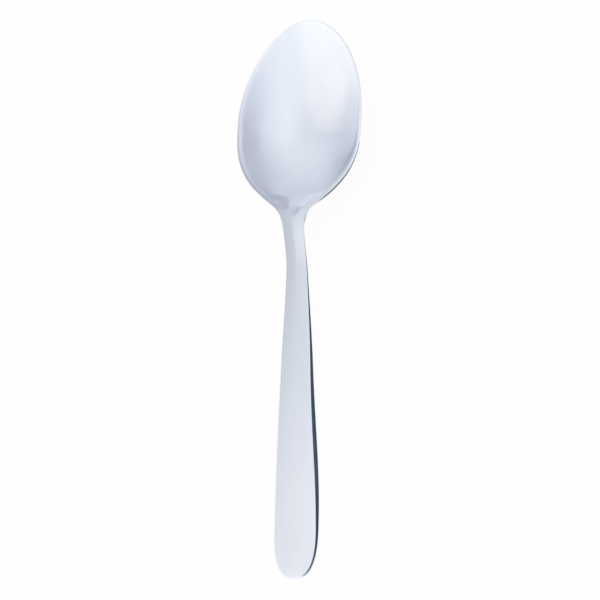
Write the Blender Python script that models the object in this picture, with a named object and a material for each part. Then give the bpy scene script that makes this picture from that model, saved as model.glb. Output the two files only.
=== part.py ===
"""Dessert spoon pressed from one blank of stainless steel, built as one closed skin.

A few lengths and widths give the outline seen from above, and a few heights give the side profile.
Lines of points then run from the spine out over the top, round the edge and back to the spine underneath.
Units are metres. The spoon lies along Y, tip at +Y and hollow side up, and rests on z = 0.
"""

import bmesh
import bpy
import numpy as np

# Outline, seen from above: the handle, then the bowl before and after its widest place
HANDLE_LENGTH = 0.11277
HEEL_LENGTH = 0.03133
TIP_LENGTH = 0.0359
BOWL_WIDTH = 0.04147
NECK_WIDTH = 0.00563
HANDLE_MID_WIDTH = 0.01058
HANDLE_WIDTH = 0.01462
HANDLE_WIDE_AT = 0.0193
END_ROUND_LENGTH = 0.0166
END_SQUARENESS = 2.68
TIP_POINTEDNESS = 0.20
HEEL_SQUARENESS = 3.07
NECK_FILLET = 0.0061

# Side profile of the widest line: level end, straight handle, rise to the neck, fall to the tip
END_LEVEL_LENGTH = 0.012
HANDLE_MID_HEIGHT = 0.0043
NECK_RISE_LENGTH = 0.0164
NECK_FOOT_HEIGHT = 0.0081
CREST_OVER_RIM = 0.0026
SHOULDER_LENGTH = 0.0075
SHOULDER_OVER_RIM = 0.0008
TIP_UNDER_RIM = 0.0055

# Bowl
BOWL_DEPTH = 0.0093
SHEET = 0.0012
RIM_LAND = 0.0005
RIM_FALL = 0.0001
RIM_SIDE = 0.0006
HOLLOW_INTO_NECK = 0.0025
HOLLOW_CORNER = 7.0
HOLLOW_EDGE_SOFTNESS = 0.05
BOWL_SOFTNESS = 2.0
SMALLEST = 1e-9

# Handle and neck sections
BEVEL_WIDE_AT = 0.038
END_BEVEL = 0.00053
WIDE_BEVEL = 0.00104
NECK_BEVEL = 0.00025
CREST_BEVEL = 0.0003
BEVEL_STEEPNESS = 1.2
HANDLE_SIDE = 0.0006
NECK_SIDE = 0.0011
HANDLE_CROWN = 0.0003
FOOT_CROWN = 0.0004
NECK_CROWN = 0.0006
HANDLE_SOFTNESS = 1.0
RIDGE_SOFTNESS = 0.15
CROWN_FADING = 3.0
FOOT_BACK = 0.0004
NECK_BACK = 0.0010
EDGE_ROUND = 0.00022
LARGEST_ROUND_SHARE = 0.45

# Points of the skin
END_STEPS = 10
HANDLE_STEPS = 16
NECK_STEPS = 12
HEEL_STEPS = 22
TIP_STEPS = 18
TOP_RINGS = 9
BACK_RINGS = 7
CORNER_STEPS = 2
FAN_REACH = 0.7
SPINE_SAMPLES = 2000
INWARDS = (1.0, 0.0)

STEEL_COLOUR = (0.80, 0.82, 0.86, 1.0)
STEEL_ROUGHNESS = 0.18

LENGTH = HANDLE_LENGTH + HEEL_LENGTH + TIP_LENGTH
WIDEST_AT = HANDLE_LENGTH + HEEL_LENGTH
CREST_AT = HANDLE_LENGTH
SHOULDER_AT = CREST_AT + SHOULDER_LENGTH
FOOT_AT = HANDLE_LENGTH - NECK_RISE_LENGTH
MID_AT = (END_LEVEL_LENGTH + FOOT_AT) / 2
HOLLOW_HEEL_LENGTH = HEEL_LENGTH + HOLLOW_INTO_NECK


def smooth_through(at, stations, values):
    """Cubic through the values at the stations, which never overshoots them between two stations."""
    stations = np.array(stations)
    values = np.array(values)
    step = np.diff(stations)
    rise = np.diff(values) / step
    slope = np.zeros(len(stations))
    slope[0] = rise[0]
    slope[-1] = rise[-1]
    for k in range(1, len(step)):
        if rise[k - 1] * rise[k] > 0:
            near = 2 * step[k] + step[k - 1]
            far = step[k] + 2 * step[k - 1]
            slope[k] = (near + far) / (near / rise[k - 1] + far / rise[k])
    k = np.clip(np.searchsorted(stations, at) - 1, 0, len(step) - 1)
    t = np.clip((at - stations[k]) / step[k], 0, 1)
    start = values[k] * (1 + 2 * t) + slope[k] * step[k] * t
    finish = values[k + 1] * (3 - 2 * t) - slope[k + 1] * step[k] * (1 - t)
    return start * (1 - t) ** 2 + finish * t**2


def handle_half_width(y):
    """Half the width of the handle, which tapers to the neck and runs on at that width under the bowl."""
    stations = (0, HANDLE_WIDE_AT, (HANDLE_WIDE_AT + HANDLE_LENGTH) / 2, HANDLE_LENGTH, LENGTH)
    widths = (HANDLE_WIDTH, HANDLE_WIDTH, HANDLE_MID_WIDTH, NECK_WIDTH, NECK_WIDTH)
    return smooth_through(y, stations, widths) / 2


def heel_half_width(y):
    """Half width of the handle and the bowl's round heel, joined by a fillet, up to the widest place."""
    handle = handle_half_width(y)
    widest = BOWL_WIDTH / 2
    before = np.clip((WIDEST_AT - y) / HEEL_LENGTH, 0, None)
    fullest = widest - NECK_FILLET**2 / (4 * (widest - handle))
    bowl = fullest - widest * before**HEEL_SQUARENESS
    return (bowl + handle + np.sqrt((bowl - handle) ** 2 + NECK_FILLET**2)) / 2


def heel_swell(y):
    """How far the outline has opened from the handle, 0, to the widest place of the bowl, 1."""
    handle = handle_half_width(y)
    return (heel_half_width(y) - handle) / (BOWL_WIDTH / 2 - handle)


def tip_closing(y, length):
    """Square of the bowl's half width as a share of its widest, from 1 to 0 over the length to the tip."""
    ahead = np.clip(y - WIDEST_AT, 0, None) ** 2 / length**2
    return (1 - ahead) * (1 - TIP_POINTEDNESS * ahead)


def half_width(y):
    """Half the spoon's width at a distance y from the handle's end."""
    end = np.clip(1 - y / END_ROUND_LENGTH, 0, 1) ** END_SQUARENESS
    heel = heel_half_width(y) * (1 - end) ** (1 / END_SQUARENESS)
    tip = BOWL_WIDTH / 2 * np.sqrt(np.clip(tip_closing(y, TIP_LENGTH), 0, 1))
    return np.where(y < WIDEST_AT, heel, tip)


def along(y, end, wide, foot, crest, bowl):
    """A section size at its five places along the spoon, blended between them."""
    stations = (0, BEVEL_WIDE_AT, FOOT_AT, CREST_AT, WIDEST_AT, LENGTH)
    return smooth_through(y, stations, (end, wide, foot, crest, bowl, bowl))


def side_height(y):
    return along(y, HANDLE_SIDE, HANDLE_SIDE, HANDLE_SIDE, NECK_SIDE, RIM_SIDE)


def bevel_width(y):
    return along(y, END_BEVEL, WIDE_BEVEL, NECK_BEVEL, CREST_BEVEL, RIM_LAND)


def bevel_rise(y):
    """Height of the flank's top over the widest line, and of the land's inner edge, which lies below it."""
    flank = along(y, END_BEVEL, WIDE_BEVEL, NECK_BEVEL, 0, 0) * BEVEL_STEEPNESS
    return flank - along(y, 0, 0, 0, 0, RIM_FALL)


def soft_ridge(reach, softness):
    """Height of a ridge, 1 on its line and 0 at a reach of 1: two slopes, rounder where it is softer."""
    whole_fall = np.hypot(1, softness) - softness
    return 1 - (np.hypot(reach, softness) - softness) / whole_fall


def ridge_height(y):
    """Rise of the top's spine over its edges, which flares with the outline and fades as the heel opens."""
    ridge = along(y, HANDLE_CROWN, HANDLE_CROWN, FOOT_CROWN, NECK_CROWN, NECK_CROWN)
    flare = heel_half_width(y) / handle_half_width(y)
    return ridge * flare * (1 - heel_swell(y)) ** CROWN_FADING


def crown(y, reach):
    """Rise of the top over its edges at a share of the way out from the spine."""
    softness = along(y, HANDLE_SOFTNESS, HANDLE_SOFTNESS, RIDGE_SOFTNESS, RIDGE_SOFTNESS, RIDGE_SOFTNESS)
    return ridge_height(y) * soft_ridge(reach, softness)


def back_crown(y):
    return along(y, 0, 0, FOOT_BACK, NECK_BACK, 0)


def before_widest(y):
    """Distance before the bowl's widest place, as a share of the hollow's heel."""
    return np.clip((WIDEST_AT - y) / HOLLOW_HEEL_LENGTH, 0, 1)


def dish_spine(y, inset):
    """Depth along a dish's spine, as a share: a squared cosine in the heel, then the outline's closing."""
    closing = np.clip(tip_closing(y, TIP_LENGTH - inset), 0, 1)
    heel = np.cos(np.pi / 2 * before_widest(y)) ** 2
    return np.where(y < WIDEST_AT, heel, closing)


def dish_across(x, y, inset, heel_half):
    """Depth across a dish, as a share: a soft ridge upside down, over the dish's half width."""
    tip = (BOWL_WIDTH / 2 - inset) * np.sqrt(dish_spine(y, inset))
    half = np.maximum(np.where(y < WIDEST_AT, heel_half, tip), SMALLEST)
    return soft_ridge(np.minimum(abs(x) / half, 1), BOWL_SOFTNESS)


def hollow_depth(x, y):
    """Depth of the hollow below the top: a dish inside the land, closing to a point at the neck."""
    open_still = 1 - before_widest(y) ** HOLLOW_CORNER
    across = dish_across(x, y, RIM_LAND, (half_width(y) - RIM_LAND) * open_still)
    spine = BOWL_DEPTH * dish_spine(y, RIM_LAND) + ridge_height(y) * open_still
    return spine * across**2 / (across + HOLLOW_EDGE_SOFTNESS) * (1 + HOLLOW_EDGE_SOFTNESS)


def back_depth(x, y):
    """Depth of the bowl's underside below the lower edge of its rim: a dish as wide as the outline."""
    whole_depth = BOWL_DEPTH + RIM_FALL + SHEET - RIM_SIDE
    return whole_depth * dish_spine(y, 0) * dish_across(x, y, 0, half_width(y))


def bowl_height(y):
    """Height of the widest line over the rim at the bowl's widest place, from the crest to the tip."""
    stations = (FOOT_AT, CREST_AT, SHOULDER_AT, WIDEST_AT, LENGTH)
    heights = (CREST_OVER_RIM, CREST_OVER_RIM, SHOULDER_OVER_RIM, 0, -TIP_UNDER_RIM)
    return smooth_through(y, stations, heights)


def rim_height():
    """Height of the rim at its widest place that lets the bowl's underside rest on z = 0."""
    spine = np.linspace(WIDEST_AT, LENGTH, SPINE_SAMPLES)
    underside = bowl_height(spine) - side_height(spine) - back_depth(0 * spine, spine)
    return -underside.min()


def edge_height(y):
    """Height of the widest line, all along the spoon."""
    rim = rim_height()
    crest = rim + CREST_OVER_RIM
    stations = (0, END_LEVEL_LENGTH, MID_AT, FOOT_AT, CREST_AT, LENGTH)
    heights = (HANDLE_SIDE, HANDLE_SIDE, HANDLE_MID_HEIGHT, NECK_FOOT_HEIGHT, crest, crest)
    return np.where(y < CREST_AT, smooth_through(y, stations, heights), rim + bowl_height(y))


def outline_stations():
    """Distances from the handle's end up one side, closer together round the end and the tip."""
    turn = np.linspace(np.pi / 2, 0, END_STEPS, endpoint=False)
    end = END_ROUND_LENGTH * (1 - np.sin(turn) ** (2 / END_SQUARENESS))
    handle = np.linspace(END_ROUND_LENGTH, FOOT_AT, HANDLE_STEPS, endpoint=False)
    neck = np.linspace(FOOT_AT, HANDLE_LENGTH, NECK_STEPS, endpoint=False)
    heel = np.linspace(HANDLE_LENGTH, WIDEST_AT, HEEL_STEPS, endpoint=False)
    tip = WIDEST_AT + TIP_LENGTH * np.sin(np.linspace(0, np.pi / 2, TIP_STEPS + 1))
    return np.concatenate([end, handle, neck, heel, tip])


def rounded_corner(before, corner, after):
    """Points of a parabola in place of the corner, EDGE_ROUND long on each side that is long enough."""
    towards = before - corner
    onwards = after - corner
    towards_length = np.linalg.norm(towards, axis=1, keepdims=True)
    onwards_length = np.linalg.norm(onwards, axis=1, keepdims=True)
    reach = np.minimum(EDGE_ROUND, LARGEST_ROUND_SHARE * np.minimum(towards_length, onwards_length))
    towards = towards * reach / towards_length
    onwards = onwards * reach / onwards_length
    turn = np.linspace(0, 1, CORNER_STEPS + 1)
    return [corner + towards * (1 - t) ** 2 + onwards * t**2 for t in turn]


def edge_section(y):
    """The edge as (inset, height) pairs for each station: top corner, widest line, lower corner."""
    zero = 0 * y
    inset = bevel_width(y)
    rise = bevel_rise(y)
    side = side_height(y)
    top = np.stack([inset, rise], axis=1)
    widest = np.stack([zero, zero], axis=1)
    bottom = np.stack([zero, -side], axis=1)
    corners = rounded_corner(top + np.array(INWARDS), top, widest)
    corners += rounded_corner(top, widest, bottom)
    corners += rounded_corner(widest, bottom, bottom + np.array(INWARDS))
    return corners


def skin_points():
    """Points of the skin as an array of stations round the outline by lines across the section."""
    right = outline_stations()
    y = np.concatenate([right, right[-2:0:-1]])
    side_of = np.concatenate([np.ones(len(right)), -np.ones(len(right) - 2)])
    rim = np.stack([side_of * half_width(y), y], axis=1)
    along_rim = np.roll(rim, -1, axis=0) - np.roll(rim, 1, axis=0)
    along_rim /= np.linalg.norm(along_rim, axis=1, keepdims=True)
    inward = np.stack([-along_rim[:, 1], along_rim[:, 0]], axis=1)
    spine_y = np.where(y > WIDEST_AT, WIDEST_AT + FAN_REACH * (y - WIDEST_AT), y)
    end_fan = END_ROUND_LENGTH - FAN_REACH * (END_ROUND_LENGTH - y)
    spine_y = np.where(y < END_ROUND_LENGTH, end_fan, spine_y)
    spine = np.stack([0 * y, spine_y], axis=1)

    corners = edge_section(y)
    edge = []
    for k, corner in enumerate(corners):
        place = rim + inward * corner[:, :1]
        under = max(0, k - 2 * CORNER_STEPS - 2) / CORNER_STEPS
        drop = under * back_depth(place[:, 0], place[:, 1]) + hollow_depth(place[:, 0], place[:, 1])
        height = edge_height(place[:, 1]) + corner[:, 1] - drop
        edge.append(np.column_stack([place, height]))

    top = []
    for s in np.linspace(0, 1, TOP_RINGS, endpoint=False):
        place = spine + s * (edge[0][:, :2] - spine)
        at = place[:, 1]
        height = edge_height(at) + bevel_rise(at) + crown(at, s)
        top.append(np.column_stack([place, height - hollow_depth(place[:, 0], at)]))

    back = []
    for s in np.linspace(1, 0, BACK_RINGS + 1)[1:]:
        place = spine + s * (edge[-1][:, :2] - spine)
        at = place[:, 1]
        height = edge_height(at) - side_height(at) - back_crown(at) * (1 - s**2)
        back.append(np.column_stack([place, height - back_depth(place[:, 0], at)]))

    points = np.stack(top + edge + back, axis=1)
    points[:, :, 1] -= LENGTH / 2
    return points


def spoon_mesh():
    """The skin as a mesh of quads between neighbouring stations. Both sides share the spine's points."""
    points = skin_points()
    count, rings, _ = points.shape
    grid = bmesh.new()
    vertices = {}
    for i in range(count):
        for j in range(rings):
            on_spine = j in (0, rings - 1)
            if on_spine and i > count // 2:
                vertices[i, j] = vertices[count - i, j]
            else:
                vertices[i, j] = grid.verts.new(points[i, j])
    for i in range(count):
        following = (i + 1) % count
        for j in range(rings - 1):
            corners = ((i, j), (i, j + 1), (following, j + 1), (following, j))
            grid.faces.new([vertices[corner] for corner in corners])
    mesh = bpy.data.meshes.new("spoon")
    grid.to_mesh(mesh)
    grid.free()
    mesh.shade_smooth()
    return mesh


def polished_steel():
    """Bright stainless steel with a fine polish."""
    material = bpy.data.materials.new("polished_steel")
    material.use_nodes = True
    shader = material.node_tree.nodes["Principled BSDF"]
    shader.inputs["Base Color"].default_value = STEEL_COLOUR
    shader.inputs["Metallic"].default_value = 1.0
    shader.inputs["Roughness"].default_value = STEEL_ROUGHNESS
    return material


def main():
    for obj in list(bpy.data.objects):
        bpy.data.objects.remove(obj)
    spoon = bpy.data.objects.new("spoon", spoon_mesh())
    spoon.data.materials.append(polished_steel())
    bpy.context.scene.collection.objects.link(spoon)


main()
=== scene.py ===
"""Dessert spoon pressed from one blank of polished steel, with the studio that shows it.

The spoon is one closed skin. Lines of points start on its spine, run out over the top, turn round the edge
and come back to the spine underneath.
Units are metres. The spoon lies along Y, tip at +Y and hollow side up, and rests on z = 0.
"""

import bpy
import numpy as np
from mathutils import Matrix, Vector


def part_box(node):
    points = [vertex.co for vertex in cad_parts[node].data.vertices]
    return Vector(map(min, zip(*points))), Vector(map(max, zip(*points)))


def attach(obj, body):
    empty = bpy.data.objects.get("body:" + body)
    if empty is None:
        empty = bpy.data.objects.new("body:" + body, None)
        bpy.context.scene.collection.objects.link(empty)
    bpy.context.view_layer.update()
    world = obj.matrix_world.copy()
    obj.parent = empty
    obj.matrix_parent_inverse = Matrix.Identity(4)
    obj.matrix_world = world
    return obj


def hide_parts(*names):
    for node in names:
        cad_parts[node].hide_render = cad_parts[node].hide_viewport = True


bl_info = {
    "name": "Dessert spoon",
    "version": (1, 0, 0),
    "blender": (4, 5, 0),
    "location": "3D View > Sidebar > Spoon",
    "description": "Builds a polished dessert spoon on its packed frame, and the studio that shows it",
    "category": "Object",
}

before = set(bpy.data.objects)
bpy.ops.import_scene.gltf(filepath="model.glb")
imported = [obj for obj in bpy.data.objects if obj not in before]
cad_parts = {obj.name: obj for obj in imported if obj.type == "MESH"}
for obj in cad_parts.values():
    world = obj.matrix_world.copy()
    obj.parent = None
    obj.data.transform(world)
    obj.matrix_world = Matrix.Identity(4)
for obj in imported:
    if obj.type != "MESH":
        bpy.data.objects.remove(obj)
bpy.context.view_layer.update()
SPOON_LOW, SPOON_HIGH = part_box("spoon")

# Points of the skin: stations along one side, then lines across the section
END_STEPS = 60
HANDLE_STEPS = 90
NECK_STEPS = 60
HEEL_STEPS = 120
TIP_STEPS = 130
TOP_LINES = 40
BACK_LINES = 28
CORNER_STEPS = 6
LAND_LINES = 5
SIDE_LINES = 2
TOP_CROWDING = 1.5
FAN_REACH = 0.7
SPINE_SAMPLES = 2000
LARGEST_ROUND_SHARE = 0.45
SMALLEST = 1e-9

# Noise levels at which haze and scratches start and are full, and nearness to the edge where buffing starts
HAZE_STARTS = 0.35
HAZE_FULL = 0.7
SCRATCH_STARTS = 0.68
SCRATCH_FULL = 0.76
BUFFING_STARTS = 0.85

# Noise patterns: strength and number of their finer layers, and length of a hazy place over its width
NOISE_ROUGHNESS = 0.55
HAZE_LAYERS = 3
GRAIN_LAYERS = 2
SCRATCH_LAYERS = 0
HAZE_STRETCH = 2

# Soft patches of the studio's light, each laid over the ones before it
PATCHES = ("back", "left", "overhead", "front")

# Cards round the spoon that only reflections show, and the smallest share of a card over which it can fade.
# The two dark boards flat on the floor beside the handle and partly under the bowl are painted shade of the
# floor next to the spoon.
CARDS = ("shade", "wall", "low_wall", "strip", "handle_board", "bowl_board")
HARD_EDGE = 0.0001
# Dark colour of the low strip card, and of the painted shade that the two floor boards give
DARK_CARD_AND_PAINTED_SHADE = (0.035, 0.06, 0.09)


def length(name, description, default):
    """A size in metres that the user can change."""
    return bpy.props.FloatProperty(
        name=name, description=description, default=default, precision=5, subtype="DISTANCE", unit="LENGTH"
    )


def angle(name, description, default):
    """An angle in radians, which the panel shows in degrees."""
    return bpy.props.FloatProperty(
        name=name, description=description, default=default, subtype="ANGLE", unit="ROTATION"
    )


def number(name, description, default):
    """A plain number that shapes a curve or sets a level."""
    return bpy.props.FloatProperty(name=name, description=description, default=default, precision=4)


def share(name, description, default):
    """A share from 0 to 1."""
    return bpy.props.FloatProperty(
        name=name, description=description, default=default, min=0, max=1, precision=4, subtype="FACTOR"
    )


def colour(name, description, default):
    """A colour in linear light."""
    return bpy.props.FloatVectorProperty(
        name=name, description=description, default=default, min=0, max=1, size=3, subtype="COLOR"
    )


def glow(name, description, default):
    """The colour and level, in linear light, at which reflections show a card or a patch of light."""
    return bpy.props.FloatVectorProperty(
        name=name, description=description, default=default, min=0, size=3, subtype="COLOR"
    )


def direction(name, description, default):
    """A direction from the spoon out into the studio."""
    return bpy.props.FloatVectorProperty(
        name=name, description=description, default=default, size=3, subtype="DIRECTION"
    )


def place(name, description, default):
    """A point or a step in the studio, in metres."""
    return bpy.props.FloatVectorProperty(
        name=name, description=description, default=default, size=3, subtype="TRANSLATION", unit="LENGTH"
    )


def fades(name, default):
    """Three shares of a card, from 0 to 1."""
    description = "Shares of the card over which it fades at its start, its end and its top"
    return bpy.props.FloatVectorProperty(
        name=name, description=description, default=default, min=0, max=1, size=3
    )


class SpoonSizes(bpy.types.PropertyGroup):
    """Sizes of the spoon. The whole length, width and height come from its solid."""

    whole_length: length("Length", "From the handle's end to the tip", SPOON_HIGH.y - SPOON_LOW.y)
    bowl_width: length("Bowl width", "Across the widest place of the bowl", SPOON_HIGH.x - SPOON_LOW.x)
    whole_height: length("Height", "From the floor to the neck's crest", SPOON_HIGH.z - SPOON_LOW.z)
    handle_length: length("Handle length", "From the handle's end to the neck", 0.11277)
    heel_length: length("Heel length", "From the neck to the widest place of the bowl", 0.03133)
    neck_width: length("Neck width", "Across the neck, before its fillet adds to it", 0.00563)
    handle_mid_width: length("Handle middle width", "Half way from the wide end to the neck", 0.01058)
    handle_width: length("Handle width", "Across the wide end of the handle", 0.01462)
    handle_wide_at: length("Handle wide at", "Widest place, from the handle's end", 0.0193)
    end_round_length: length("End rounding", "Length of the rounded handle end", 0.0166)
    end_squareness: number("End squareness", "2 is an ellipse, and more is squarer", 2.68)
    tip_pointedness: share("Tip pointedness", "0 is an ellipse, and more is more pointed", 0.20)
    heel_squareness: number("Heel squareness", "2 is round, and more is squarer", 3.07)
    neck_fillet: length("Neck fillet", "Size of the fillet between neck and heel", 0.0061)

    end_level_length: length("Level end", "Length of the handle that lies level", 0.012)
    handle_mid_height: length("Handle middle height", "Height of the edge half way along", 0.0043)
    neck_rise_length: length("Neck rise", "Length over which the neck rises", 0.0164)
    neck_foot_height: length("Neck foot height", "Height of the edge where the neck starts to rise", 0.0081)
    crest_over_rim: length("Crest over rim", "Height of the neck's crest over the bowl's rim", 0.0026)
    shoulder_length: length("Shoulder length", "From the crest to the bowl's shoulder", 0.0075)
    shoulder_over_rim: length("Shoulder over rim", "Height of the bowl's shoulder over its rim", 0.0008)
    tip_under_rim: length("Tip under rim", "Drop of the rim from its widest place to the tip", 0.0055)

    bowl_depth: length("Bowl depth", "Depth of the hollow below the rim", 0.0093)
    sheet: length("Sheet", "Thickness of the steel under the bowl", 0.0012)
    rim_land: length("Rim land", "Width of the land round the hollow", 0.0005)
    rim_fall: length("Rim fall", "Fall of the land towards the hollow", 0.0001)
    rim_side: length("Rim side", "Height of the rim's outer side", 0.0006)
    hollow_into_neck: length("Hollow into neck", "How far the hollow runs into the neck", 0.0025)
    hollow_corner: number("Hollow corner", "More gives the hollow a blunter point at the neck", 7.0)
    hollow_edge_softness: number("Hollow edge softness", "How softly the hollow leaves the land", 0.05)
    bowl_softness: number("Bowl softness", "More makes the hollow rounder across its widest place", 2.0)

    bevel_wide_at: length("Bevel wide at", "Where the handle's flank is widest", 0.038)
    end_bevel: length("End bevel", "Width of the flank at the handle's end", 0.00053)
    wide_bevel: length("Wide bevel", "Width of the flank at its widest", 0.00104)
    neck_bevel: length("Neck bevel", "Width of the flank where the neck starts", 0.00025)
    crest_bevel: length("Crest bevel", "Width of the land on the neck's crest", 0.0003)
    bevel_steepness: number("Bevel steepness", "Rise of the flank over its width", 1.2)
    handle_side: length("Handle side", "Height of the handle's upright edge", 0.0006)
    neck_side: length("Neck side", "Height of the neck's upright edge", 0.0011)
    handle_crown: length("Handle crown", "Rise of the handle's top at its middle", 0.0003)
    foot_crown: length("Foot crown", "Rise of the top where the neck starts", 0.0004)
    neck_crown: length("Neck crown", "Rise of the neck's top at its middle", 0.0006)
    handle_softness: share("Handle softness", "0 is a sharp ridge on the handle, and more is rounder", 1.0)
    ridge_softness: share("Ridge softness", "0 is a sharp ridge on the neck, and more is rounder", 0.15)
    crown_fading: number("Crown fading", "More ends the neck's facets sooner in the heel", 3.0)
    foot_back: length("Foot back", "Fall of the back where the neck starts", 0.0004)
    neck_back: length("Neck back", "Fall of the neck's back at its middle", 0.0010)
    edge_round: length("Edge rounding", "Length of each rounded corner", 0.00022)


class SteelFinish(bpy.types.PropertyGroup):
    """Colour and polish of the steel."""

    bright: colour("Bright steel", "Colour of the cleanest polish", (0.89, 0.91, 0.95))
    dull: colour("Dull steel", "Colour where the polish is hazier", (0.86, 0.88, 0.925))
    roughness: share("Roughness", "Roughness of the polish", 0.16)
    haze: share("Haze", "Roughness that the haziest places add", 0.07)
    edge_polish: share("Edge polish", "Roughness that the buffed edges lose", 0.06)
    haze_size: length("Haze size", "Size of the hazy places", 0.012)
    grain_width: length("Grain width", "Width of a line of the polishing grain", 0.00016)
    grain_length: length("Grain length", "Length of a line of the polishing grain", 0.016)
    grain_depth: length("Grain depth", "Depth of the polishing grain", 0.0000006)
    scratch_width: length("Scratch width", "Width of the hair scratches", 0.00012)
    scratch_length: length("Scratch length", "Length of the hair scratches", 0.009)
    scratch_turn: angle("Scratch turn", "Angle from the spoon's length to the scratches", np.radians(14))
    scratch_depth: length("Scratch depth", "Depth of the hair scratches", 0.0000005)


class PhotoView(bpy.types.PropertyGroup):
    """How the photograph looks at the spoon."""

    roll: angle("Roll", "Turn of the spoon about its own length", np.radians(-20))
    pitch: angle("Pitch", "Tilt of the spoon's tip from the picture", np.radians(-15))
    turn: angle("Turn", "Turn of the spoon within the picture", -0.034)
    distance: length("Distance", "From the camera to the spoon's middle", 0.8333)
    aim_height: length("Aim height", "Height of the point that the camera turns about", 0.007)
    aside: length("Aside", "Camera shifted along the picture's width", 0.00086)
    along: length("Along", "Camera shifted along the picture's height", -0.003506)
    lens: number("Lens", "Focal length in millimetres on a 36 mm sensor", 160.44)


class StudioLook(bpy.types.PropertyGroup):
    """Floor, cards, lamp and soft light of the studio."""

    floor_size: length("Floor size", "Side of the square floor", 8.0)
    floor_colour: colour("Floor colour", "Colour of the floor", (0.94, 0.94, 0.94))
    floor_glow: share("Floor glow", "Share of the floor that shows as plain white", 0.95)
    daylight: number("Daylight", "Level of the even light from all round", 0.7)
    white: colour("White", "Colour of the background", (1.0, 1.0, 1.0))
    surround: colour("Surround", "Colour of the studio all round", (0.71, 0.745, 0.83))
    back_shade: glow("Back", "Colour of the soft light high behind on the left", (0.895, 0.915, 0.96))
    back_towards: direction("Back towards", "Where its middle is", (-0.34, 0.35, 0.87))
    back_inner: angle("Back inner", "From its middle to where it starts to fade", np.radians(1))
    back_outer: angle("Back outer", "From its middle to where it has faded", np.radians(67))
    left_shade: glow("Left", "Colour of the wide soft light at the front left", (1.095, 1.10, 1.11))
    left_towards: direction("Left towards", "Where its middle is", (-0.43, -0.86, 0.28))
    left_inner: angle("Left inner", "From its middle to where it starts to fade", np.radians(78))
    left_outer: angle("Left outer", "From its middle to where it has faded", np.radians(90))
    overhead_shade: glow("Overhead", "Colour of the soft light overhead", (0.965, 0.995, 1.045))
    overhead_towards: direction("Overhead towards", "Where its middle is", (0.275, 0.185, 0.935))
    overhead_inner: angle("Overhead inner", "From its middle to where it starts to fade", np.radians(1))
    overhead_outer: angle("Overhead outer", "From its middle to where it has faded", np.radians(39))
    front_shade: glow("Front", "Colour of the low grey light at the front right", (0.36, 0.39, 0.46))
    front_towards: direction("Front towards", "Where its middle is", (0.72, -0.69, 0.1))
    front_inner: angle("Front inner", "From its middle to where it starts to fade", np.radians(10))
    front_outer: angle("Front outer", "From its middle to where it has faded", np.radians(52))
    shade_colour: glow("Shade", "Colour of the grey card that leans over the handle", (0.22, 0.27, 0.38))
    shade_start: place("Shade start", "Near end of the grey card's foot", (-0.037, -0.225, -0.017))
    shade_end: place("Shade end", "Far end of the grey card's foot", (-0.037, 0.0935, 0.014))
    shade_rise: place("Shade rise", "From the grey card's foot to its top", (0.0675, 0.0, 0.0375))
    shade_fade: fades("Shade fade", (1.0, 0.23, 1.0))
    wall_colour: glow("Wall", "Colour of the grey wall behind on the right", (0.47, 0.50, 0.595))
    wall_start: place("Wall start", "Near end of its foot, below the floor", (0.5875, -0.041, -0.033))
    wall_end: place("Wall end", "Far end of its foot, below the floor", (-0.306, 0.63, -0.238))
    wall_rise: place("Wall rise", "From the grey wall's foot to its top", (0.036, 0.49, 0.597))
    wall_fade: fades("Wall fade", (0.06, 0.12, 0.08))
    low_wall_colour: glow("Low wall", "Colour of the low wall behind on the left", (0.315, 0.35, 0.415))
    low_wall_start: place("Low wall start", "Near end of the low wall", (-0.89, 0.38, 0.0))
    low_wall_end: place("Low wall end", "Far end of the low wall", (-0.32, 0.55, 0.0))
    low_wall_rise: place("Low wall rise", "From the low wall's foot to its top", (0.0, 0.0, 0.107))
    low_wall_fade: fades("Low wall fade", (0.13, 0.31, 0.80))
    strip_colour: glow("Dark strip", "Colour of the low dark card on the right", DARK_CARD_AND_PAINTED_SHADE)
    strip_start: place("Strip start", "Near end of the dark card", (0.28, -0.5, 0.0))
    strip_end: place("Strip end", "Far end of the dark card", (0.28, 0.086, 0.0))
    strip_rise: place("Strip rise", "From the dark card's foot to its top", (0.0, 0.0, 0.075))
    strip_fade: fades("Strip fade", (0.0, 0.02, 0.0))
    # Painted shade: a dark board flat on the floor right of the handle, which stands for the shaded floor
    # there and darkens the handle's flank and rim in reflections
    handle_board_colour: glow("Handle board", "Colour of the dark board beside the handle", DARK_CARD_AND_PAINTED_SHADE)
    handle_board_start: place("Handle board start", "Near end of the board", (0.0085, -0.12, 0.0002))
    handle_board_end: place("Handle board end", "Far end of the board", (0.0085, 0.011, 0.0002))
    handle_board_rise: place("Handle board reach", "From its left side to its right", (0.27, 0.073, 0.0))
    handle_board_fade: fades("Handle board fade", (0.0, 0.0, 0.0))
    # Painted shadow: a small dark board flat on the floor, partly under the bowl, which stands for the
    # bowl's shadow on the floor and darkens the rim's right side in reflections
    bowl_board_colour: glow("Bowl board", "Colour of the dark board partly under the bowl", DARK_CARD_AND_PAINTED_SHADE)
    bowl_board_start: place("Bowl board start", "Near end of the board", (0.009, 0.022, 0.0002))
    bowl_board_end: place("Bowl board end", "Far end of the board", (0.009, 0.048, 0.0002))
    bowl_board_rise: place("Bowl board reach", "From its left side to its right", (0.017, 0.0, 0.0))
    bowl_board_fade: fades("Bowl board fade", (0.0, 0.0, 0.0))
    softbox_size: length("Softbox size", "Side of the square lamp overhead", 1.6)
    softbox_height: length("Softbox height", "Height of the lamp", 1.8)
    softbox_aside: length("Softbox aside", "How far right of the spoon the lamp hangs", -0.5)
    softbox_level: number("Softbox level", "Light that the lamp adds to a white floor", 0.3)


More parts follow.
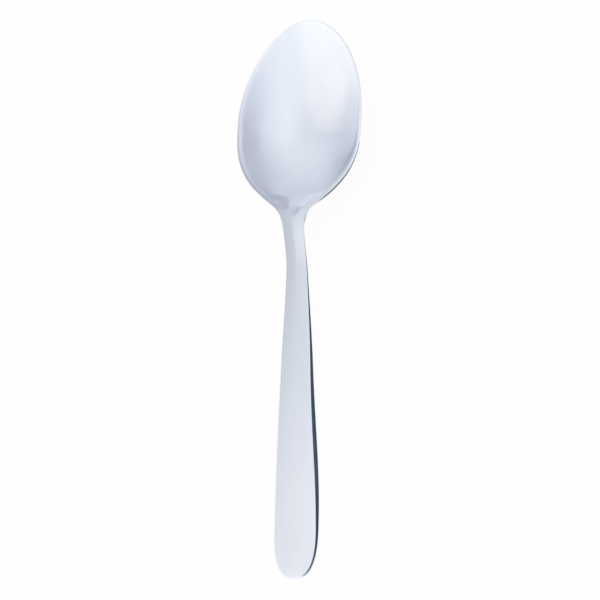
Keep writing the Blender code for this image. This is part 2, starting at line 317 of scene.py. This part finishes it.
class SpoonForm:
    """The spoon's shape as functions of x, across, and y, the distance from the handle's end."""

    def __init__(self, sizes):
        for name in SpoonSizes.__annotations__:
            setattr(self, name, getattr(sizes, name))
        self.widest_at = self.handle_length + self.heel_length
        self.tip_length = self.whole_length - self.widest_at
        self.crest_at = self.handle_length
        self.shoulder_at = self.crest_at + self.shoulder_length
        self.foot_at = self.handle_length - self.neck_rise_length
        self.mid_at = (self.end_level_length + self.foot_at) / 2
        self.hollow_heel_length = self.heel_length + self.hollow_into_neck
        self.rim_height = self.lift_to_floor()

    def handle_half_width(self, y):
        """Half the handle's width: a smooth taper to the neck's, which runs on under the bowl."""
        middle = (self.handle_wide_at + self.handle_length) / 2
        stations = (0, self.handle_wide_at, middle, self.handle_length, self.whole_length)
        wide = self.handle_width
        neck = self.neck_width
        widths = (wide, wide, self.handle_mid_width, neck, neck)
        return smooth_through(y, stations, widths) / 2

    def heel_half_width(self, y):
        """Half width of the handle and the bowl's heel, up to the widest place.

        The heel alone is its fullest less a power of the distance before the widest place. Handle and heel
        join in a fillet: half of their sum plus the root of their squared difference and the squared fillet.
        """
        handle = self.handle_half_width(y)
        widest = self.bowl_width / 2
        before = np.clip((self.widest_at - y) / self.heel_length, 0, None)
        fullest = widest - self.neck_fillet**2 / (4 * (widest - handle))
        bowl = fullest - widest * before**self.heel_squareness
        return (bowl + handle + np.hypot(bowl - handle, self.neck_fillet)) / 2

    def heel_swell(self, y):
        """How far the outline has opened from the handle, 0, to the bowl's widest place, 1."""
        handle = self.handle_half_width(y)
        return (self.heel_half_width(y) - handle) / (self.bowl_width / 2 - handle)

    def tip_closing(self, y, closing_length):
        """Square of the bowl's half width as a share of its widest: (1 - a)(1 - pointedness a).

        Here a is the square of the distance past the widest place over the closing length.
        """
        ahead = np.clip(y - self.widest_at, 0, None) ** 2 / closing_length**2
        return (1 - ahead) * (1 - self.tip_pointedness * ahead)

    def half_width(self, y):
        """Half the spoon's width: handle and heel with a superellipse end, then the closing tip."""
        end = np.clip(1 - y / self.end_round_length, 0, 1) ** self.end_squareness
        heel = self.heel_half_width(y) * (1 - end) ** (1 / self.end_squareness)
        tip = self.bowl_width / 2 * np.sqrt(np.clip(self.tip_closing(y, self.tip_length), 0, 1))
        return np.where(y < self.widest_at, heel, tip)

    def along(self, y, end, wide, foot, crest, bowl):
        """A section size at its five places along the spoon, blended between them."""
        stations = (0, self.bevel_wide_at, self.foot_at, self.crest_at, self.widest_at, self.whole_length)
        return smooth_through(y, stations, (end, wide, foot, crest, bowl, bowl))

    def side_height(self, y):
        """Height of the upright edge along the spoon."""
        side = self.handle_side
        return self.along(y, side, side, side, self.neck_side, self.rim_side)

    def bevel_width(self, y):
        """Width of the handle's flank, which becomes the land of the rim."""
        flank = (self.end_bevel, self.wide_bevel, self.neck_bevel)
        return self.along(y, *flank, self.crest_bevel, self.rim_land)

    def bevel_rise(self, y):
        """Rise of the flank, width times steepness, which ends at the crest, less the land's fall."""
        flank = self.along(y, self.end_bevel, self.wide_bevel, self.neck_bevel, 0, 0) * self.bevel_steepness
        return flank - self.along(y, 0, 0, 0, 0, self.rim_fall)

    def ridge_height(self, y):
        """Rise of the top's ridge over its edges: it flares with the outline and fades as the heel opens."""
        neck = self.neck_crown
        ridge = self.along(y, self.handle_crown, self.handle_crown, self.foot_crown, neck, neck)
        flare = self.heel_half_width(y) / self.handle_half_width(y)
        return ridge * flare * (1 - self.heel_swell(y)) ** self.crown_fading

    def crown(self, y, reach):
        """Rise of the top over its edges: a soft ridge along the spine."""
        sharp = self.ridge_softness
        softness = self.along(y, self.handle_softness, self.handle_softness, sharp, sharp, sharp)
        return self.ridge_height(y) * soft_ridge(reach, softness)

    def back_crown(self, y):
        """Fall of the back at the spine under its edges."""
        return self.along(y, 0, 0, self.foot_back, self.neck_back, 0)

    def before_widest(self, y):
        """Distance before the bowl's widest place, as a share of the hollow's heel."""
        return np.clip((self.widest_at - y) / self.hollow_heel_length, 0, 1)

    def dish_spine(self, y, inset):
        """Share of depth along a dish's spine: a squared cosine in the heel, then the outline's closing."""
        closing = np.clip(self.tip_closing(y, self.tip_length - inset), 0, 1)
        heel = np.cos(np.pi / 2 * self.before_widest(y)) ** 2
        return np.where(y < self.widest_at, heel, closing)

    def dish_across(self, x, y, inset, heel_half):
        """Depth across a dish, as a share: a soft ridge upside down, over the dish's half width."""
        tip = (self.bowl_width / 2 - inset) * np.sqrt(self.dish_spine(y, inset))
        half = np.maximum(np.where(y < self.widest_at, heel_half, tip), SMALLEST)
        return soft_ridge(np.minimum(abs(x) / half, 1), self.bowl_softness)

    def hollow_depth(self, x, y):
        """Depth of the hollow below the top: a dish inside the land, which it leaves softly.

        Towards the neck its half width closes with a power of the distance, to a point between the facets.
        With e the share across, it is the spine's depth times e squared over (e + softness), scaled to be
        whole at the spine.
        """
        open_still = 1 - self.before_widest(y) ** self.hollow_corner
        heel_half = (self.half_width(y) - self.rim_land) * open_still
        across = self.dish_across(x, y, self.rim_land, heel_half)
        spine = self.bowl_depth * self.dish_spine(y, self.rim_land) + self.ridge_height(y) * open_still
        softness = self.hollow_edge_softness
        return spine * across**2 / (across + softness) * (1 + softness)

    def back_depth(self, x, y):
        """Depth of the bowl's underside below its rim: a dish as wide as the outline."""
        whole_depth = self.bowl_depth + self.rim_fall + self.sheet - self.rim_side
        return whole_depth * self.dish_spine(y, 0) * self.dish_across(x, y, 0, self.half_width(y))

    def bowl_height(self, y):
        """Height of the rim over its widest place, from the crest down to the tip."""
        crest = self.crest_over_rim
        stations = (self.foot_at, self.crest_at, self.shoulder_at, self.widest_at, self.whole_length)
        return smooth_through(y, stations, (crest, crest, self.shoulder_over_rim, 0, -self.tip_under_rim))

    def lift_to_floor(self):
        """Height of the rim at its widest place that lets the bowl's underside rest on z = 0."""
        spine = np.linspace(self.widest_at, self.whole_length, SPINE_SAMPLES)
        underside = self.bowl_height(spine) - self.side_height(spine) - self.back_depth(0 * spine, spine)
        return -underside.min()

    def edge_height(self, y):
        """Height of the widest line, all along the spoon."""
        crest = self.rim_height + self.crest_over_rim
        stations = (0, self.end_level_length, self.mid_at, self.foot_at, self.crest_at, self.whole_length)
        level = self.handle_side
        heights = (level, level, self.handle_mid_height, self.neck_foot_height, crest, crest)
        handle = smooth_through(y, stations, heights)
        return np.where(y < self.crest_at, handle, self.rim_height + self.bowl_height(y))

    def stations(self):
        """Distances from the handle's end up one side, closer together round the end and the tip."""
        turn = np.linspace(np.pi / 2, 0, END_STEPS, endpoint=False)
        end = self.end_round_length * (1 - np.sin(turn) ** (2 / self.end_squareness))
        handle = np.linspace(self.end_round_length, self.foot_at, HANDLE_STEPS, endpoint=False)
        neck = np.linspace(self.foot_at, self.handle_length, NECK_STEPS, endpoint=False)
        heel = np.linspace(self.handle_length, self.widest_at, HEEL_STEPS, endpoint=False)
        tip = self.widest_at + self.tip_length * np.sin(np.linspace(0, np.pi / 2, TIP_STEPS + 1))
        return np.concatenate([end, handle, neck, heel, tip])

    def outline(self):
        """The outline once round, with each point's inward direction and its point of the spine."""
        right = self.stations()
        y = np.concatenate([right, right[-2:0:-1]])
        side_of = np.concatenate([np.ones(len(right)), -np.ones(len(right) - 2)])
        rim = np.stack([side_of * self.half_width(y), y], axis=1)
        along_rim = np.roll(rim, -1, axis=0) - np.roll(rim, 1, axis=0)
        along_rim /= np.linalg.norm(along_rim, axis=1, keepdims=True)
        inward = np.stack([-along_rim[:, 1], along_rim[:, 0]], axis=1)
        tip_fan = self.widest_at + FAN_REACH * (y - self.widest_at)
        end_fan = self.end_round_length - FAN_REACH * (self.end_round_length - y)
        spine_y = np.where(y > self.widest_at, tip_fan, np.where(y < self.end_round_length, end_fan, y))
        return rim, inward, np.stack([0 * y, spine_y], axis=1)

    def edge_lines(self, y):
        """The edge as inset and height: top corner, flank or land, widest line, upright, lower corner."""
        inset = self.bevel_width(y)
        rise = self.bevel_rise(y)
        side = self.side_height(y)
        zero = 0 * y
        top = np.stack([inset, rise], axis=1)
        widest = np.stack([zero, zero], axis=1)
        bottom = np.stack([zero, -side], axis=1)
        inwards = np.array([1.0, 0.0])
        upper = self.rounded_corner(top + inwards, top, widest)
        middle = self.rounded_corner(top, widest, bottom)
        lower = self.rounded_corner(widest, bottom, bottom + inwards)
        land = lines_between(upper[:, -1], middle[:, 0], LAND_LINES)
        upright = lines_between(middle[:, -1], lower[:, 0], SIDE_LINES)
        return np.concatenate([upper, land, middle, upright, lower], axis=1)

    def rounded_corner(self, before, corner, after):
        """A parabola in place of the corner, shortened where a neighbouring side is too short for it."""
        towards = before - corner
        onwards = after - corner
        towards_length = np.linalg.norm(towards, axis=1, keepdims=True)
        onwards_length = np.linalg.norm(onwards, axis=1, keepdims=True)
        shortest = np.minimum(towards_length, onwards_length)
        reach = np.minimum(self.edge_round, LARGEST_ROUND_SHARE * shortest)
        towards = (towards * reach / towards_length)[:, None]
        onwards = (onwards * reach / onwards_length)[:, None]
        turn = np.linspace(0, 1, CORNER_STEPS + 1)[None, :, None]
        return corner[:, None] + towards * (1 - turn) ** 2 + onwards * turn**2

    def skin(self):
        """Points of the skin, stations by lines, and how near each lies to the edge, from 1 there to 0."""
        rim, inward, spine = self.outline()
        edge = self.edge_lines(rim[:, 1])
        place = rim[:, None] + inward[:, None] * edge[:, :, :1]
        x, y = place[:, :, 0], place[:, :, 1]
        under = np.zeros(edge.shape[1])
        under[-CORNER_STEPS - 1 :] = np.linspace(0, 1, CORNER_STEPS + 1)
        drop = under * self.back_depth(x, y) + self.hollow_depth(x, y)
        edge_points = np.dstack([x, y, self.edge_height(y) + edge[:, :, 1] - drop])

        reach = 1 - (1 - np.linspace(0, 1, TOP_LINES, endpoint=False)) ** TOP_CROWDING
        x, y = fan(spine, edge_points[:, 0, :2], reach)
        height = self.edge_height(y) + self.bevel_rise(y) + self.crown(y, reach)
        top_points = np.dstack([x, y, height - self.hollow_depth(x, y)])

        back_reach = np.linspace(1, 0, BACK_LINES + 1)[1:]
        x, y = fan(spine, edge_points[:, -1, :2], back_reach)
        height = self.edge_height(y) - self.side_height(y) - self.back_crown(y) * (1 - back_reach**2)
        back_points = np.dstack([x, y, height - self.back_depth(x, y)])

        points = np.concatenate([top_points, edge_points, back_points], axis=1)
        points[:, :, 1] -= self.whole_length / 2
        points[:, :, 2] *= self.whole_height / points[:, :, 2].max()
        nearness = np.concatenate([reach, np.ones(edge.shape[1]), back_reach])
        return points, np.broadcast_to(nearness, points.shape[:2])


def smooth_through(at, stations, values):
    """Cubic through the values at the stations, which never overshoots them between two stations."""
    stations = np.array(stations)
    values = np.array(values)
    step = np.diff(stations)
    rise = np.diff(values) / step
    slope = np.zeros(len(stations))
    slope[0] = rise[0]
    slope[-1] = rise[-1]
    for k in range(1, len(step)):
        if rise[k - 1] * rise[k] > 0:
            near = 2 * step[k] + step[k - 1]
            far = step[k] + 2 * step[k - 1]
            slope[k] = (near + far) / (near / rise[k - 1] + far / rise[k])
    k = np.clip(np.searchsorted(stations, at) - 1, 0, len(step) - 1)
    t = np.clip((at - stations[k]) / step[k], 0, 1)
    start = values[k] * (1 + 2 * t) + slope[k] * step[k] * t
    finish = values[k + 1] * (3 - 2 * t) - slope[k + 1] * step[k] * (1 - t)
    return start * (1 - t) ** 2 + finish * t**2


def soft_ridge(reach, softness):
    """Height of a ridge from 1, over its spine, to 0 at reach 1: a hyperbola, sharper with less softness."""
    whole_fall = np.hypot(1, softness) - softness
    return 1 - (np.hypot(reach, softness) - softness) / whole_fall


def lines_between(start, finish, count):
    """Evenly spaced points between two lines, without their ends."""
    step = np.linspace(0, 1, count + 2)[None, 1:-1, None]
    return start[:, None] + (finish - start)[:, None] * step


def fan(spine, edge, reach):
    """Places at each reach on the way from the spine, 0, to the edge, 1."""
    place = spine[:, None] + reach[None, :, None] * (edge - spine)[:, None]
    return place[:, :, 0], place[:, :, 1]


def closed_skin(name, points, nearness):
    """Mesh of quads between neighbouring stations, in which both sides share the spine's points."""
    count, lines, _ = points.shape
    index = np.arange(count * lines).reshape(count, lines)
    mirrored = np.minimum(np.arange(count), count - np.arange(count)) % count
    index[:, 0] = index[mirrored, 0]
    index[:, -1] = index[mirrored, -1]
    used, index = np.unique(index, return_inverse=True)
    index = index.reshape(count, lines)
    following = np.roll(index, -1, axis=0)
    quads = np.stack([index[:, :-1], index[:, 1:], following[:, 1:], following[:, :-1]], axis=2)
    mesh = bpy.data.meshes.new(name)
    mesh.from_pydata(points.reshape(-1, 3)[used], [], quads.reshape(-1, 4))
    attribute = mesh.attributes.new("edge_nearness", "FLOAT", "POINT")
    attribute.data.foreach_set("value", nearness.reshape(-1)[used].astype(np.float32))
    mesh.shade_smooth()
    mesh.validate()
    return mesh


def add_node(tree, kind, **settings):
    """A new node of a tree. Settings are its own options, or its input sockets by name."""
    node = tree.nodes.new(kind)
    for name, value in settings.items():
        if hasattr(node, name):
            setattr(node, name, value)
        else:
            node.inputs[name.replace("_", " ")].default_value = value
    return node


def stretched_noise(tree, coordinates, size, turn, detail):
    """Noise whose grains have the given size along X, Y and Z, turned about the upright."""
    mapping = add_node(tree, "ShaderNodeMapping", vector_type="TEXTURE")
    mapping.inputs["Scale"].default_value = size
    mapping.inputs["Rotation"].default_value = (0, 0, turn)
    noise = add_node(tree, "ShaderNodeTexNoise", Scale=1.0, Detail=detail, Roughness=NOISE_ROUGHNESS)
    tree.links.new(coordinates, mapping.inputs["Vector"])
    tree.links.new(mapping.outputs["Vector"], noise.inputs["Vector"])
    return noise.outputs["Fac"]


def between(tree, value, low, high, first, last):
    """The value carried smoothly from first, at low, to last, at high."""
    node = add_node(tree, "ShaderNodeMapRange", interpolation_type="SMOOTHSTEP")
    for name, given in (("From Min", low), ("From Max", high), ("To Min", first), ("To Max", last)):
        node.inputs[name].default_value = given
    tree.links.new(value, node.inputs["Value"])
    return node.outputs["Result"]


def combined(tree, first, second, operation="ADD"):
    """The sum, or another operation, of two values, of which the second may be a plain number."""
    node = add_node(tree, "ShaderNodeMath", operation=operation)
    tree.links.new(first, node.inputs[0])
    if isinstance(second, bpy.types.NodeSocket):
        tree.links.new(second, node.inputs[1])
    else:
        node.inputs[1].default_value = second
    return node.outputs["Value"]


def mixed_shaders(tree, share_of_second, first, second):
    """Mix of two shaders by a share that is worked out in the tree."""
    node = add_node(tree, "ShaderNodeMixShader")
    tree.links.new(share_of_second, node.inputs[0])
    tree.links.new(first, node.inputs[1])
    tree.links.new(second, node.inputs[2])
    return node.outputs["Shader"]


def bumped(tree, height, depth, normal):
    """The normal of a surface on which height 1 stands the depth above height 0."""
    bump = add_node(tree, "ShaderNodeBump")
    bump.inputs["Distance"].default_value = depth
    tree.links.new(height, bump.inputs["Height"])
    if normal is not None:
        tree.links.new(normal, bump.inputs["Normal"])
    return bump.outputs["Normal"]


def polished_steel(finish):
    """Bright stainless steel: lengthwise polishing grain, hair scratches, hazy places and buffed edges."""
    material = bpy.data.materials.new("polished_steel")
    material.use_nodes = True
    tree = material.node_tree
    shader = tree.nodes["Principled BSDF"]
    shader.inputs["Metallic"].default_value = 1.0
    coordinates = add_node(tree, "ShaderNodeTexCoord").outputs["Object"]

    haze_size = (finish.haze_size, HAZE_STRETCH * finish.haze_size, finish.haze_size)
    haze = stretched_noise(tree, coordinates, haze_size, 0, HAZE_LAYERS)
    tint = add_node(tree, "ShaderNodeMix", data_type="RGBA")
    tint.inputs["A"].default_value = (*finish.bright, 1)
    tint.inputs["B"].default_value = (*finish.dull, 1)
    tree.links.new(between(tree, haze, HAZE_STARTS, HAZE_FULL, 0, 1), tint.inputs["Factor"])
    tree.links.new(tint.outputs["Result"], shader.inputs["Base Color"])

    nearness = add_node(tree, "ShaderNodeAttribute", attribute_name="edge_nearness").outputs["Fac"]
    buffed = between(tree, nearness, BUFFING_STARTS, 1, 0, finish.edge_polish)
    hazy = between(tree, haze, HAZE_STARTS, HAZE_FULL, finish.roughness, finish.roughness + finish.haze)
    tree.links.new(combined(tree, hazy, buffed, "SUBTRACT"), shader.inputs["Roughness"])

    grain_size = (finish.grain_width, finish.grain_length, finish.grain_width)
    grain = stretched_noise(tree, coordinates, grain_size, 0, GRAIN_LAYERS)
    normal = bumped(tree, grain, finish.grain_depth, None)
    scratch_size = (finish.scratch_width, finish.scratch_length, finish.scratch_length)
    for turn in (finish.scratch_turn, -finish.scratch_turn):
        noise = stretched_noise(tree, coordinates, scratch_size, turn, SCRATCH_LAYERS)
        scratch = between(tree, noise, SCRATCH_STARTS, SCRATCH_FULL, 1, 0)
        normal = bumped(tree, scratch, finish.scratch_depth, normal)
    tree.links.new(normal, shader.inputs["Normal"])
    return material


def seen_in_picture(tree):
    """1 for what the camera, a reflection or a clear body shows, and 0 for what only gives light."""
    path = add_node(tree, "ShaderNodeLightPath")
    seen = combined(tree, path.outputs["Is Camera Ray"], path.outputs["Is Glossy Ray"])
    return combined(tree, seen, path.outputs["Is Transmission Ray"])


def floor_material(look):
    """Pale floor that shows as almost plain white and still keeps the spoon's shadow."""
    material = bpy.data.materials.new("studio_floor")
    material.use_nodes = True
    tree = material.node_tree
    tree.nodes.remove(tree.nodes["Principled BSDF"])
    matt = add_node(tree, "ShaderNodeBsdfDiffuse", Color=(*look.floor_colour, 1))
    white = add_node(tree, "ShaderNodeEmission", Color=(*look.white, 1), Strength=1.0)
    glow = combined(tree, seen_in_picture(tree), look.floor_glow, "MULTIPLY")
    surface = mixed_shaders(tree, glow, matt.outputs["BSDF"], white.outputs["Emission"])
    tree.links.new(surface, tree.nodes["Material Output"].inputs["Surface"])
    return material


def card_material(name, shade, fade):
    """Card that shows as an even glow of its own colour and fades smoothly towards three of its edges."""
    material = bpy.data.materials.new(name)
    material.use_nodes = True
    tree = material.node_tree
    tree.nodes.remove(tree.nodes["Principled BSDF"])
    on_card = add_node(tree, "ShaderNodeSeparateXYZ")
    tree.links.new(add_node(tree, "ShaderNodeTexCoord").outputs["UV"], on_card.inputs["Vector"])
    at_start, at_end, at_top = (max(edge, HARD_EDGE) for edge in fade)
    after_start = between(tree, on_card.outputs["X"], 0, at_start, 0, 1)
    before_end = between(tree, on_card.outputs["X"], 1 - at_end, 1, 1, 0)
    under_top = between(tree, on_card.outputs["Y"], 1 - at_top, 1, 1, 0)
    there = combined(tree, combined(tree, after_start, before_end, "MULTIPLY"), under_top, "MULTIPLY")
    clear = add_node(tree, "ShaderNodeBsdfTransparent")
    card = add_node(tree, "ShaderNodeEmission", Color=(*shade, 1), Strength=1.0)
    surface = mixed_shaders(tree, there, clear.outputs["BSDF"], card.outputs["Emission"])
    tree.links.new(surface, tree.nodes["Material Output"].inputs["Surface"])
    return material


def flat_sheet(context, name, corners, material):
    """A flat sheet of the stage, through four corners, with its own map from 0 to 1 each way."""
    mesh = bpy.data.meshes.new(name)
    mesh.from_pydata(corners, [], [(0, 1, 2, 3)])
    mesh.uv_layers.new(name="sheet").data.foreach_set("uv", (0, 0, 1, 0, 1, 1, 0, 1))
    mesh.materials.append(material)
    sheet = bpy.data.objects.new(name, mesh)
    context.scene.collection.objects.link(sheet)
    return sheet


def lay_floor(context, look):
    """The square floor at z = 0."""
    half = look.floor_size / 2
    corners = [(-half, -half, 0), (half, -half, 0), (half, half, 0), (-half, half, 0)]
    flat_sheet(context, "floor", corners, floor_material(look))


def stand_cards(context, look):
    """The cards round the spoon, which only reflections show. Two of them, flat on the floor, are painted
    shade.
    """
    parts = ("start", "end", "rise")
    for name in CARDS:
        start, end, rise = (Vector(getattr(look, f"{name}_{part}")) for part in parts)
        material = card_material(name, getattr(look, name + "_colour"), getattr(look, name + "_fade"))
        card = flat_sheet(context, name, [start, end, end + rise, start + rise], material)
        card.visible_camera = False
        card.visible_diffuse = False
        card.visible_shadow = False


def hang_softbox(context, look):
    """The large soft lamp overhead. The metal shows the soft patches instead of it.

    Its power is its level times the square of pi times its height, which lights a white floor by the level.
    """
    lamp = bpy.data.lights.new("softbox", "AREA")
    lamp.size = look.softbox_size
    lamp.energy = look.softbox_level * (np.pi * look.softbox_height) ** 2
    softbox = bpy.data.objects.new("softbox", lamp)
    hung_at = Vector((look.softbox_aside, 0, look.softbox_height))
    softbox.location = hung_at
    softbox.rotation_euler = hung_at.to_track_quat("Z", "Y").to_euler()
    softbox.visible_glossy = False
    context.scene.collection.objects.link(softbox)


def soft_patches(tree, look):
    """Colour of the studio in each direction: the surround, and soft patches that fade into it."""
    towards = add_node(tree, "ShaderNodeTexCoord").outputs["Generated"]
    result = None
    for patch in PATCHES:
        facing = add_node(tree, "ShaderNodeVectorMath", operation="DOT_PRODUCT")
        facing.inputs[1].default_value = Vector(getattr(look, patch + "_towards")).normalized()
        tree.links.new(towards, facing.inputs[0])
        outer = np.cos(getattr(look, patch + "_outer"))
        inner = np.cos(getattr(look, patch + "_inner"))
        amount = between(tree, facing.outputs["Value"], outer, inner, 0, 1)
        mix = add_node(tree, "ShaderNodeMix", data_type="RGBA")
        mix.inputs["A"].default_value = (*look.surround, 1)
        mix.inputs["B"].default_value = (*getattr(look, patch + "_shade"), 1)
        tree.links.new(amount, mix.inputs["Factor"])
        if result is not None:
            tree.links.new(result, mix.inputs["A"])
        result = mix.outputs["Result"]
    return result


def light_world(context, look):
    """Even light all round. Reflections show the soft patches, and the camera plain white."""
    world = bpy.data.worlds.new("studio")
    world.use_nodes = True
    context.scene.world = world
    tree = world.node_tree
    tree.nodes.remove(tree.nodes["Background"])
    path = add_node(tree, "ShaderNodeLightPath")
    light = add_node(tree, "ShaderNodeBackground", Color=(*look.white, 1), Strength=look.daylight)
    patches = add_node(tree, "ShaderNodeBackground", Strength=1.0)
    tree.links.new(soft_patches(tree, look), patches.inputs["Color"])
    white = add_node(tree, "ShaderNodeBackground", Color=(*look.white, 1), Strength=1.0)
    reflected = combined(tree, path.outputs["Is Glossy Ray"], path.outputs["Is Transmission Ray"])
    lit = mixed_shaders(tree, reflected, light.outputs["Background"], patches.outputs["Background"])
    shown = mixed_shaders(tree, path.outputs["Is Camera Ray"], lit, white.outputs["Background"])
    tree.links.new(shown, tree.nodes["World Output"].inputs["Surface"])


def set_camera(context, view):
    """Camera that sees the spoon turned within the picture, pitched and rolled as in the photograph."""
    turned = Matrix.Rotation(view.turn, 3, "Z")
    pitched = Matrix.Rotation(view.pitch, 3, "X")
    rolled = Matrix.Rotation(view.roll, 3, "Y")
    across, up, back = turned @ pitched @ rolled
    place = Vector((0, 0, view.aim_height)) + view.distance * back + view.aside * across + view.along * up
    data = bpy.data.cameras.new("photo_camera")
    data.lens = view.lens
    camera = bpy.data.objects.new("photo_camera", data)
    camera.matrix_world = Matrix.Translation(place) @ Matrix((across, up, back)).transposed().to_4x4()
    context.scene.collection.objects.link(camera)
    context.scene.camera = camera


class SPOON_OT_press(bpy.types.Operator):
    """Press the spoon from its sizes and give it its polish"""

    bl_idname = "dessert_spoon.press"
    bl_label = "Press spoon"
    bl_options = {"REGISTER", "UNDO"}

    def execute(self, context):
        if "spoon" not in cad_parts:
            raise RuntimeError("the frame has no spoon to stand for")
        form = SpoonForm(context.scene.spoon_sizes)
        points, nearness = form.skin()
        if not np.isfinite(points).all():
            raise RuntimeError("these sizes give the spoon no shape")
        mesh = closed_skin("spoon_skin", points, nearness)
        mesh.materials.append(polished_steel(context.scene.steel_finish))
        spoon = bpy.data.objects.new("spoon_skin", mesh)
        context.scene.collection.objects.link(spoon)
        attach(spoon, "root")
        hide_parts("spoon")
        return {"FINISHED"}


class SPOON_OT_stage(bpy.types.Operator):
    """Lay the floor, stand the cards, set the light and place the camera"""

    bl_idname = "dessert_spoon.stage"
    bl_label = "Set stage"
    bl_options = {"REGISTER", "UNDO"}

    def execute(self, context):
        look = context.scene.studio_look
        context.scene.view_settings.view_transform = "Standard"
        lay_floor(context, look)
        stand_cards(context, look)
        hang_softbox(context, look)
        light_world(context, look)
        set_camera(context, context.scene.photo_view)
        return {"FINISHED"}


class SPOON_PT_panel(bpy.types.Panel):
    """Sizes, finish and stage of the spoon"""

    bl_idname = "SPOON_PT_panel"
    bl_label = "Dessert spoon"
    bl_space_type = "VIEW_3D"
    bl_region_type = "UI"
    bl_category = "Spoon"

    def draw(self, context):
        steps = (
            (SPOON_OT_press, ("spoon_sizes", "steel_finish")),
            (SPOON_OT_stage, ("photo_view", "studio_look")),
        )
        for operator, groups in steps:
            box = self.layout.box()
            box.operator(operator.bl_idname)
            for group in groups:
                settings = getattr(context.scene, group)
                for name in settings.__annotations__:
                    box.prop(settings, name)


GROUPS = {
    "spoon_sizes": SpoonSizes,
    "steel_finish": SteelFinish,
    "photo_view": PhotoView,
    "studio_look": StudioLook,
}
CLASSES = (*GROUPS.values(), SPOON_OT_press, SPOON_OT_stage, SPOON_PT_panel)


def register():
    """Make the classes and the scene's settings known to Blender."""
    for kind in CLASSES:
        bpy.utils.register_class(kind)
    for name, kind in GROUPS.items():
        setattr(bpy.types.Scene, name, bpy.props.PointerProperty(type=kind))


def unregister():
    """Take the settings and the classes away again."""
    for name in GROUPS:
        delattr(bpy.types.Scene, name)
    for kind in reversed(CLASSES):
        bpy.utils.unregister_class(kind)


def main():
    """Build the spoon and its stage."""
    register()
    bpy.ops.dessert_spoon.press()
    bpy.ops.dessert_spoon.stage()


if __name__ == "__main__":
    main()
